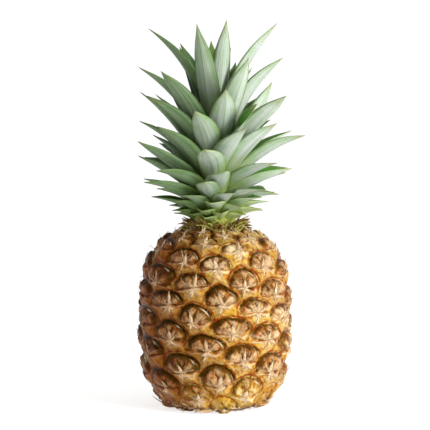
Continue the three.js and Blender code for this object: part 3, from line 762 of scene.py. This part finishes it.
def rind_material(look):
    """Fresh pineapple rind: fleshy bract bases and sepals under a thin wax.

    The wax gives small soft lights, and the flesh's warm mottling shows through it.
    """
    material, add, v = new_material("waxy_rind", (
        "sepal", "groove", "ring", "glint", "corner", "wing", "line", "puff", "low", "paper", "lobe",
        "tint", "ripe", "ends", "foot", "under", "out", "fan_x", "fan_y",
    ), (("patches", 8), ("blotch", 4.5), ("mottle", 2.3), ("grain", 1.2)))
    # Wrinkles that fan out from each eye's middle, about 3 mm apart halfway to its edge.
    parts = [
        add("Math", (v[trait], factor, more), operation="MULTIPLY_ADD")
        for trait, factor, more in (("fan_x", 2.1, 0), ("fan_y", 2.1, 0), ("tint", 9, v["out"]))
    ]
    fan = add("CombineXYZ", parts)
    v["streak"] = add("TexNoise", {"Vector": fan, "Scale": 1, "Detail": 3, "Roughness": 0.6})
    # Painted shade: a share that is full on the -X side, away from the key light, and about a third on the +X
    # side.
    v["unripe"] = add("MapRange", (v["ripe"], 0.3, 0.8, 1, 0.35))
    v["broken"] = add("MapRange", (v["mottle"], 0.35, 0.5, 0.55, 1))
    for name, first, second in (
        ("frayed_line", "line", "blotch"), ("green_ends", "ends", "patches"), ("gold_foot", "foot", "blotch"),
        ("torn_ring", "ring", "streak"), ("band", "ring", "unripe"), ("star", "paper", "broken"),
    ):
        v[name] = add("Math", (v[first], v[second]), operation="MULTIPLY")
    v["broken_puff"] = add("Math", (v["mottle"], -1, v["puff"]), operation="MULTIPLY_ADD")
    # Painted shade: the grooves are darker and broader on the -X side, away from the key light, and thinner
    # and rustier on the +X side.
    ragged = add("Math", (v["mottle"], 1.3, v["groove"]), operation="MULTIPLY_ADD")
    lit_side_paling = add("MapRange", (v["ripe"], 0.3, 0.85, 0.35, 0.7))
    patchy = add("Math", (v["patches"], 0.5, lit_side_paling), operation="MULTIPLY_ADD")
    v["depth"] = add("Math", (ragged, patchy), operation="SUBTRACT")
    skirt = painted(add, v, look.skirt_pale, (
        ("corner", 0.1, 0.7, 0, 0.85, look.skirt_gold),
        # The skirts' lower ends are browner: partly their own colour, partly painted shade where they drop
        # towards the groove.
        ("low", 0.1, 1, 0, 0.4, look.skirt_brown),
        ("patches", 0.5, 0.6, 0, 0.8, look.skirt_gold),
        ("blotch", 0.52, 0.66, 0, 0.4, look.sepal_tan),
        ("streak", 0.54, 0.66, 0, 0.6, look.skirt_red),
        ("streak", 0.47, 0.35, 0, 0.7, look.flesh_cream),
        ("green_ends", 0.3, 0.6, 0, 0.6, look.sepal_green),
        ("gold_foot", 0.2, 0.5, 0, 0.7, look.skirt_gold),
        ("wing", 0.15, 0.8, 0, 0.85, look.flesh_cream),
        ("frayed_line", 0.22, 0.42, 0, 0.9, look.lip_orange),
    ))
    dome = painted(add, v, look.sepal_tan, (
        ("patches", 0.5, 0.62, 0, 0.6, look.sepal_green),
        ("lobe", 0.2, 0.8, 0, 0.3, look.sepal_brown),
        ("blotch", 0.5, 0.6, 0, 0.65, look.sepal_brown),
        ("blotch", 0.46, 0.38, 0, 0.8, look.sepal_pink),
        # Pale flesh on the sepals' raised lobes: partly their own colour, partly painted highlight.
        ("broken_puff", -0.3, 0.2, 0, 0.7, look.flesh_cream),
        ("mottle", 0.53, 0.62, 0, 0.6, look.sepal_brown),
        ("mottle", 0.46, 0.38, 0, 0.6, look.sepal_green),
        ("streak", 0.51, 0.6, 0, 0.85, look.sepal_brown),
        ("streak", 0.45, 0.36, 0, 0.8, look.flesh_cream),
        ("green_ends", 0.3, 0.6, 0, 0.6, look.sepal_green),
        ("gold_foot", 0.2, 0.5, 0, 0.6, look.skirt_gold),
        ("ring", 0.3, 1, 0, 0.35, look.skirt_red),
        ("torn_ring", 0.25, 0.5, 0, 0.7, look.sepal_brown),
        # The olive band round the sepals: partly their own colour, made stronger on the -X side as painted
        # shade.
        ("band", 0.1, 0.8, 0, 0.9, look.ring_olive),
    ))
    flesh = painted(add, v, skirt, (
        ("sepal", 0, 1, 0, 1, dome), ("star", 0.1, 0.75, 0, 1, look.paper_cream),
    ))
    # Stains darken what they cover. Painted shade darkens the -X side, away from the key light, and the
    # underside turns browner and darker, partly dried tissue and partly painted shade near the floor.
    flesh = painted(add, v, flesh, (
        ("ripe", 0.12, 0.6, 0.9, 0, look.painted_shade_brown),
        ("tint", 0, 1, 0.55, 0, look.stain_tan),
        ("blotch", 0.5, 0.62, 0, 0.7, look.stain_tan),
        ("under", 0, 1, 0, 0.9, look.paper_brown),
    ), "MULTIPLY")
    flesh = painted(add, v, flesh, (
        # The grooves' own brown at their brims, then near black with painted shade where they are deepest.
        ("depth", 0.15, 0.7, 0, 1, look.groove_rust),
        ("depth", 0.5, 1.15, 0, 1, look.groove_shade_dark),
        # A painted highlight on the dome's rim.
        ("glint", 0.25, 0.8, 0, 1, look.paper_cream),
    ))
    fine = add("Bump", {"Height": v["grain"], "Strength": 0.45, "Distance": 0.0016})
    fine = add("Bump", {"Height": v["streak"], "Strength": 0.7, "Distance": 0.003, "Normal": fine})
    rough = add("MapRange", (v["mottle"], 0.35, 0.65, 0.25, 0.45))
    surface = add("BsdfPrincipled", {
        "Base Color": flesh, "Roughness": rough, "Normal": fine, "IOR": 1.45, "Specular IOR Level": 0.2,
        "Specular Tint": colour("#e8b050"),
    })
    add("OutputMaterial", (surface,))
    return material


def paper_material(look):
    """Dry bract tissue: thin papery scale, which scatters light without gloss."""
    material, add, v = new_material("dry_bract_paper", ("along", "tint"), (("grain", 1.5),), 3)
    v["side"] = add("SeparateXYZ", (v["place"],))
    tinted = painted(add, v, look.paper_cream, (
        ("tint", -0.2, 1, 0, 0.9, look.paper_tan),
        ("grain", 0.4, 0.6, 0, 0.9, look.paper_tan),
        ("along", 0.35, 0.1, 0, 0.9, look.paper_tan),
        ("along", 0.65, 1, 0, 0.9, look.paper_brown),
    ))
    # Metres across the pineapple: painted shade darkens the tissue on the -X side, away from the key light.
    tinted = painted(add, v, tinted, (("side", -0.062, -0.03, 0.85, 0, look.painted_shade_brown),), "MULTIPLY")
    bump = add("Bump", {"Height": v["grain"], "Strength": 0.4, "Distance": 0.0004})
    skin = {"Base Color": tinted, "Roughness": 0.6, "Normal": bump, "IOR": 1.4}
    add("OutputMaterial", (add("BsdfPrincipled", skin),))
    return material


def leaf_material(look):
    """Living pineapple leaf: a tough skin, grey with wax bloom outside and bare and glossier inside.

    The bloom scatters light like chalk dust, thicker between the veins than over them.
    """
    traits = ("inner_face", "across", "along", "tint", "age", "shade")
    # The bloom lies in clouds, and brown flecks gather near the tips.
    material, add, v = new_material("bloomed_leaf", traits, (("cloud", 12), ("flecks", 1.6)), 3)
    # Veins run the leaf's length: fine ones 0.8 mm apart across a 24 mm blade, and bands 3 mm apart.
    for name, across, along in (("veins", 15, 1.2), ("bands", 4, 0.8)):
        parts = [
            add("Math", (v[trait], factor), operation="MULTIPLY")
            for trait, factor in (("across", across), ("along", along), ("tint", 37))
        ]
        lanes = add("CombineXYZ", parts)
        v[name] = add("TexNoise", {"Vector": lanes, "Scale": 1, "Detail": 3})
    v["edge"] = add("Math", (v["across"],), operation="ABSOLUTE")
    for name, second, low, high, operation in (
        ("root", "age", 0.5, 0.05, "ADD"),
        ("fading", "cloud", 0.68, 0.98, "MULTIPLY"),
        ("dry", "flecks", 0.62, 1, "MULTIPLY"),
    ):
        near = add("MapRange", (v["along"], low, high))
        v[name] = add("Math", (v[second], near), operation=operation)
    outer = painted(add, v, look.leaf_green, (
        ("cloud", 0.3, 0.6, 0.2, 0.75, look.bloom_grey),
        # A paler middle: partly thicker bloom, partly painted highlight along the blade's rounded middle.
        ("edge", 0.75, 0.3, 0, 0.7, look.bloom_grey),
        # Darker green towards the root: painted shade where the leaves' bases lie among other leaves.
        ("along", 0.45, 0.1, 0, 0.6, look.keel_green),
        ("bands", 0.45, 0.65, 0, 0.3, look.vein_green),
        ("veins", 0.44, 0.62, 0, 0.4, look.vein_green),
        ("edge", 0.07, 0, 0, 0.5, look.keel_green),
    ))
    inner = painted(add, v, look.inner_green, (("veins", 0.4, 0.62, 0, 0.6, look.inner_dark),))
    skin = painted(add, v, outer, (
        ("inner_face", 0, 1, 0, 1, inner),
        ("edge", 0.86, 1, 0, 0.6, look.margin_green),
        ("root", 0.1, 1.4, 0, 0.85, look.root_yellow),
        ("fading", 0.2, 0.55, 0, 0.8, look.tip_olive),
        ("dry", 0.5, 0.6, 0, 0.7, look.tip_brown),
        ("along", 0.95, 1, 0, 0.8, look.tip_brown),
    ))
    # Painted shade: leaves on the -X side, away from the key light, are darkened.
    skin = painted(add, v, skin, (("shade", 0, 1, 0, 0.85, look.painted_shade_green),), "MULTIPLY")
    rough = add("MapRange", (v["inner_face"], 0, 1, 0.55, 0.38))
    ribs = add("Bump", {"Height": v["veins"], "Strength": 0.35, "Distance": 0.0012})
    waves = add("Bump", {"Height": v["bands"], "Strength": 0.4, "Distance": 0.003, "Normal": ribs})
    surface = add("BsdfPrincipled", {
        "Base Color": skin, "Roughness": rough, "Normal": waves, "IOR": 1.45, "Specular IOR Level": 0.35,
    })
    add("OutputMaterial", (surface,))
    return material


def bract_material(look):
    """Withering bracts: leathery tissue, brown and brittle at the ends and still olive at the root."""
    material, add, v = new_material("withered_bract", ("along", "tint"), (("grain", 2),))
    tinted = painted(add, v, look.bract_brown, (
        ("along", 0.6, 0.1, 0, 1, look.old_olive),
        ("grain", 0.5, 0.65, 0, 1, look.bract_tan),
        ("tint", 0.5, 1, 0, 0.6, look.root_yellow),
    ))
    bump = add("Bump", {"Height": v["grain"], "Strength": 0.6, "Distance": 0.001})
    surface = add("BsdfPrincipled", {
        "Base Color": tinted, "Roughness": 0.65, "Normal": bump, "IOR": 1.4, "Specular IOR Level": 0.3,
    })
    add("OutputMaterial", (surface,))
    return material


def stem_material(look):
    """The crown's stem: fibrous green-brown tissue between the leaves' bases."""
    material, add, v = new_material("fibrous_stem", (), (("grain", 2),))
    tinted = painted(add, v, look.old_olive, (("grain", 0, 1, 0, 1, look.root_yellow),))
    bump = add("Bump", {"Height": v["grain"], "Strength": 0.6, "Distance": 0.001})
    skin = {"Base Color": tinted, "Roughness": 0.7, "Normal": bump, "IOR": 1.45}
    add("OutputMaterial", (add("BsdfPrincipled", skin),))
    return material


def stalk_material(look):
    """A cut stalk, dried: pale pith dotted with fibre ends inside a brown rim."""
    material, add, v = new_material("dry_cut_stalk")
    place = add("TexCoord", output="Object")
    # Fibre ends 0.8 mm apart.
    v["ends"] = add("TexVoronoi", {"Vector": place, "Scale": 1000 / 0.8}, "Distance")
    flat = add("VectorMath", (place, (1, 1, 0)), operation="MULTIPLY")
    v["radius"] = add("VectorMath", (flat,), "Value", operation="LENGTH")
    rim = STALK_RADIUS * MM
    tinted = painted(add, v, look.pith, (
        ("ends", 0.4, 0.15, 0, 1, look.fibre), ("radius", 0.75 * rim, 0.95 * rim, 0, 1, look.bark),
    ))
    bump = add("Bump", {"Height": v["ends"], "Strength": 0.5, "Distance": 0.0005})
    skin = {"Base Color": tinted, "Roughness": 0.8, "Normal": bump, "IOR": 1.4}
    add("OutputMaterial", (add("BsdfPrincipled", skin),))
    return material


def floor_material():
    """Seamless white paper. Its faint glow keeps it white, and shows only the darkest of the shadow."""
    material, add, _ = new_material("white_paper")
    surface = add("BsdfPrincipled", {
        "Base Color": colour("#cfcfcf"), "Roughness": 0.9, "Emission Color": colour("#ffffff"),
        "Emission Strength": 0.73, "Specular IOR Level": 0,
    })
    add("OutputMaterial", (surface,))
    return material


# What a user may change


class RindSettings(bpy.types.PropertyGroup):
    """The rind's relief and colours"""

    eye_lift: FloatProperty(
        name="Eye Lift", description="Height of a full-grown eye above the grooves",
        default=4.3 * MM, min=2 * MM, max=5 * MM, subtype="DISTANCE", unit="LENGTH",
    )
    tip_width: FloatProperty(
        name="Point Width", description="Width of a bract's dry point at its root",
        default=5.5 * MM, min=2 * MM, max=9 * MM, subtype="DISTANCE", unit="LENGTH",
    )
    tip_thickness: FloatProperty(
        name="Point Thickness", description="Thickness of a bract's dry point",
        default=0.6 * MM, min=0.3 * MM, max=1.2 * MM, subtype="DISTANCE", unit="LENGTH",
    )
    skirt_gold: tone("Skirt Gold, the fleshy lower half of an eye", "#d0a838")
    skirt_pale: tone("Skirt Pale, its paler patches", "#dcc06c")
    skirt_red: tone("Skirt Red, its rusty mottling", "#84480e")
    skirt_brown: tone("Skirt Brown, its lower end", "#98691c")
    lip_orange: tone("Lip Orange, the skirts' edges and corners", "#a8460e")
    sepal_tan: tone("Sepal Tan, the puffed upper half of an eye", "#c4823a")
    sepal_pink: tone("Sepal Pink, its fresher patches", "#d07c54")
    sepal_green: tone("Sepal Green, its unripe patches", "#a39b4e")
    sepal_brown: tone("Sepal Brown, its mottling", "#5e2f0c")
    ring_olive: tone("Ring Olive, the band round the sepals", "#453c10")
    groove_rust: tone("Groove Rust, the brims of the grooves", "#5c3806")
    # Partly the grooves' own brown, mostly painted shade in their depths.
    groove_shade_dark: tone("Groove Dark, the deepest grooves", "#1a0f02")
    # Painted shade: the colour that darkens the -X side, away from the key light.
    painted_shade_brown: tone("Shade Brown, the side that grew in the shade", "#a66c38")
    stain_tan: tone("Stain Tan, on the duller eyes", "#c08a44")
    flesh_cream: tone("Flesh Cream, the palest flesh", "#dccaa2")
    paper_cream: tone("Paper Cream, dry bract tissue", "#d7c5a1")
    paper_tan: tone("Paper Tan, its stains", "#b69167")
    paper_brown: tone("Paper Brown, its withered ends", "#543824")


class CrownSettings(bpy.types.PropertyGroup):
    """The crown's blades and colours"""

    leaf_thickness: FloatProperty(
        name="Leaf Thickness", description="Thickness of a leaf along its middle, at the root",
        default=1.8 * MM, min=0.8 * MM, max=2.6 * MM, subtype="DISTANCE", unit="LENGTH",
    )
    neck_bracts: IntProperty(
        name="Neck Bracts", description="How many short bracts ring the neck", default=96, min=8, max=160,
    )
    bloom_grey: tone("Bloom Grey, the waxy outer face of a leaf", "#c8cbc9")
    leaf_green: tone("Leaf Green, where the bloom is thin", "#86a866")
    vein_green: tone("Vein Green, the fine lines along a leaf", "#79a166")
    keel_green: tone("Keel Green, the line down a leaf's middle", "#5f8542")
    inner_green: tone("Inner Green, the bare inner face of a leaf", "#4f8a22")
    inner_dark: tone("Inner Dark, its veins", "#2f5f18")
    margin_green: tone("Margin Green, the thin edges of a leaf", "#a0b46a")
    root_yellow: tone("Root Yellow, the blanched base of a leaf", "#a9ba50")
    tip_olive: tone("Tip Olive, the fading end of a leaf", "#97a160")
    # Painted shade for the leaves on the -X side, away from the key light.
    painted_shade_green: tone("Shade Green, the side that grew in the shade", "#7c985e")
    tip_brown: tone("Tip Brown, the dry point of a leaf", "#8a8064")
    old_olive: tone("Old Olive, withering tissue", "#7a6f24")
    bract_brown: tone("Bract Brown, the dry bracts of the neck", "#6e4a1c")
    bract_tan: tone("Bract Tan, their paler edges", "#b3945a")


class StalkSettings(bpy.types.PropertyGroup):
    """The cut stalk's colours"""

    pith: tone("Pith, the stalk's dry middle", "#c9b083")
    fibre: tone("Fibre, the ends of its fibres", "#8a6a3c")
    bark: tone("Bark, its rim", "#6f5230")


class StudioSettings(bpy.types.PropertyGroup):
    """The camera and the key light"""

    distance: FloatProperty(
        name="Distance", description="From the camera to the pineapple's axis",
        default=1.3, min=0.5, max=5, subtype="DISTANCE", unit="LENGTH",
    )
    lens: FloatProperty(
        name="Lens", description="Focal length on a 36 mm sensor", default=133, min=35, max=300,
        unit="CAMERA",
    )
    elevation: FloatProperty(
        name="Elevation", description="How far the camera looks down",
        default=math.radians(3.5), min=0, max=math.radians(60), subtype="ANGLE", unit="ROTATION",
    )
    key_power: FloatProperty(
        name="Key Power", description="Power of the soft light on the right", default=24.8, min=0, max=400,
        unit="POWER",
    )


# Operators, one for each piece or group of like pieces


class PINEAPPLE_OT_rind(bpy.types.Operator):
    """Build the fruit's skin of fused eyes"""

    bl_idname = "pineapple.rind"
    bl_label = "Build Rind"

    def execute(self, context):
        look = context.scene.pineapple_rind
        faces = eye_faces()
        mesh = mesh_from("rind", *joined(eye_skin(number, look.eye_lift / MM, faces) for number in EYES))
        close_rims(mesh)
        add_piece(mesh, rind_material(look), "fruit")
        return {"FINISHED"}


class PINEAPPLE_OT_bract_points(bpy.types.Operator):
    """Add the dry point of the bract to each eye"""

    bl_idname = "pineapple.bract_points"
    bl_label = "Add Bract Points"

    def execute(self, context):
        look = context.scene.pineapple_rind
        sizes = look.eye_lift / MM, look.tip_width / MM, look.tip_thickness / MM
        mesh = mesh_from("bract_points", *joined(tip_blade(number, *sizes) for number in EYES))
        add_piece(mesh, paper_material(look), "fruit")
        return {"FINISHED"}


class PINEAPPLE_OT_dry_stars(bpy.types.Operator):
    """Add the dry arms and loose fibres round each eye's middle"""

    bl_idname = "pineapple.dry_stars"
    bl_label = "Add Dry Stars"

    def execute(self, context):
        look = context.scene.pineapple_rind
        relief, material = look.eye_lift / MM, paper_material(look)
        arms = [star_blade(number, arm, relief) for number in EYES for arm in range(len(STAR_ARMS))]
        fibres = [fibre_blade(number, strand, relief) for strand in range(FIBRE_STRANDS) for number in EYES]
        for name, blades in (("star_arms", arms), ("dry_fibres", fibres)):
            add_piece(mesh_from(name, *joined(blades)), material, "fruit")
        return {"FINISHED"}


class PINEAPPLE_OT_base_bracts(bpy.types.Operator):
    """Add the withered bracts round the base"""

    bl_idname = "pineapple.base_bracts"
    bl_label = "Add Base Bracts"

    def execute(self, context):
        mesh = mesh_from("base_bracts", *joined(base_blade(number) for number in range(BASE_BRACTS)))
        add_piece(mesh, paper_material(context.scene.pineapple_rind), "fruit")
        return {"FINISHED"}


class PINEAPPLE_OT_leaves(bpy.types.Operator):
    """Grow the crown's leaves, in three groups from the neck to the top"""

    bl_idname = "pineapple.leaves"
    bl_label = "Grow Leaves"

    def execute(self, context):
        look = context.scene.pineapple_crown
        material = leaf_material(look)
        for name, numbers in LEAF_GROUPS.items():
            blades = (leaf_blade(number, look.leaf_thickness / MM) for number in range(*numbers))
            add_piece(mesh_from(name, *joined(blades)), material, "crown")
        return {"FINISHED"}


class PINEAPPLE_OT_neck_bracts(bpy.types.Operator):
    """Add the short bracts that ring the neck"""

    bl_idname = "pineapple.neck_bracts"
    bl_label = "Add Neck Bracts"

    def execute(self, context):
        look = context.scene.pineapple_crown
        count = look.neck_bracts
        mesh = mesh_from("neck_bracts", *joined(neck_blade(number, count) for number in range(count)))
        add_piece(mesh, bract_material(look), "crown")
        return {"FINISHED"}


class PINEAPPLE_OT_crown_stem(bpy.types.Operator):
    """Build the crown's stem inside the leaves"""

    bl_idname = "pineapple.crown_stem"
    bl_label = "Build Crown Stem"

    def execute(self, context):
        mesh = mesh_from("crown_stem", *stem_arrays())
        add_piece(mesh, stem_material(context.scene.pineapple_crown), "crown")
        return {"FINISHED"}


class PINEAPPLE_OT_stalk(bpy.types.Operator):
    """Finish the cut stalk under the fruit"""

    bl_idname = "pineapple.stalk"
    bl_label = "Finish Stalk"

    def execute(self, context):
        material = stalk_material(context.scene.pineapple_stalk)
        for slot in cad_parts["stalk"].material_slots:
            slot.material = material
        return {"FINISHED"}


class PINEAPPLE_OT_studio(bpy.types.Operator):
    """Set up the floor, camera, key light and background"""

    bl_idname = "pineapple.studio"
    bl_label = "Set Up Studio"

    def execute(self, context):
        look, scene = context.scene.pineapple_studio, context.scene
        plane = bpy.data.meshes.new("floor")
        plane.from_pydata(FLOOR_CORNERS, [], [(0, 1, 2, 3)])
        plane.materials.append(floor_material())
        camera = bpy.data.cameras.new("camera")
        camera.lens, camera.sensor_width = look.lens, SENSOR
        key = bpy.data.lights.new("key", "AREA")
        key.energy, key.size = look.key_power, KEY_SIZE
        view = Vector((0, -math.cos(look.elevation), math.sin(look.elevation)))
        floor, viewer, lamp = (bpy.data.objects.new(data.name, data) for data in (plane, camera, key))
        for item in (floor, viewer, lamp):
            scene.collection.objects.link(item)
        for item, place in ((viewer, AIM + look.distance * view), (lamp, KEY_PLACE)):
            item.location = place
            item.rotation_euler = (AIM - item.location).to_track_quat("-Z", "Y").to_euler()
        scene.camera = viewer
        world = bpy.data.worlds.new("studio")
        world.use_nodes = True
        world.node_tree.nodes.clear()
        add = partial(add_node, world.node_tree)
        way = add("TexCoord", output="Generated")
        right, back, up = (add("SeparateXYZ", (way,), axis) for axis in range(3))
        level = add("MapRange", (right, -0.7, 0.8, 0.3, 0.68))
        # The background is white behind the pineapple, and near the horizon all round.
        for source, low, high in ((back, 0.9, 0.97), (up, 0.3, 0.2)):
            level = add("Mix", {0: add("MapRange", (source, low, high)), 2: level, 3: 1.05})
        add("OutputWorld", (add("Background", (colour("#ffffff"), level)),))
        scene.world = world
        scene.view_settings.view_transform = "Standard"
        return {"FINISHED"}


class PINEAPPLE_PT_panel(bpy.types.Panel):
    """The pineapple's pieces, in the order in which they are made"""

    bl_label = "Pineapple"
    bl_idname = "PINEAPPLE_PT_panel"
    bl_space_type = "VIEW_3D"
    bl_region_type = "UI"
    bl_category = "Pineapple"

    def draw(self, context):
        for operator in OPERATORS:
            self.layout.operator(operator.bl_idname)
        for name in SETTINGS:
            group = getattr(context.scene, name)
            for key in group.__annotations__:
                self.layout.prop(group, key)


OPERATORS = (
    PINEAPPLE_OT_rind,
    PINEAPPLE_OT_bract_points,
    PINEAPPLE_OT_dry_stars,
    PINEAPPLE_OT_base_bracts,
    PINEAPPLE_OT_leaves,
    PINEAPPLE_OT_neck_bracts,
    PINEAPPLE_OT_crown_stem,
    PINEAPPLE_OT_stalk,
    PINEAPPLE_OT_studio,
)
SETTINGS = {
    "pineapple_rind": RindSettings,
    "pineapple_crown": CrownSettings,
    "pineapple_stalk": StalkSettings,
    "pineapple_studio": StudioSettings,
}


def register():
    """Registers the classes, and puts the settings on the scene."""
    for group in SETTINGS.values():
        bpy.utils.register_class(group)
    for name, group in SETTINGS.items():
        setattr(bpy.types.Scene, name, PointerProperty(type=group))
    for operator in OPERATORS:
        bpy.utils.register_class(operator)
    bpy.utils.register_class(PINEAPPLE_PT_panel)


def unregister():
    """Takes away what register added."""
    bpy.utils.unregister_class(PINEAPPLE_PT_panel)
    for operator in reversed(OPERATORS):
        bpy.utils.unregister_class(operator)
    for name, group in SETTINGS.items():
        delattr(bpy.types.Scene, name)
        bpy.utils.unregister_class(group)


def main():
    """Makes every piece."""
    register()
    bpy.ops.pineapple.rind()
    bpy.ops.pineapple.bract_points()
    bpy.ops.pineapple.dry_stars()
    bpy.ops.pineapple.base_bracts()
    bpy.ops.pineapple.leaves()
    bpy.ops.pineapple.neck_bracts()
    bpy.ops.pineapple.crown_stem()
    bpy.ops.pineapple.stalk()
    bpy.ops.pineapple.studio()


if __name__ == "__main__":
    main()
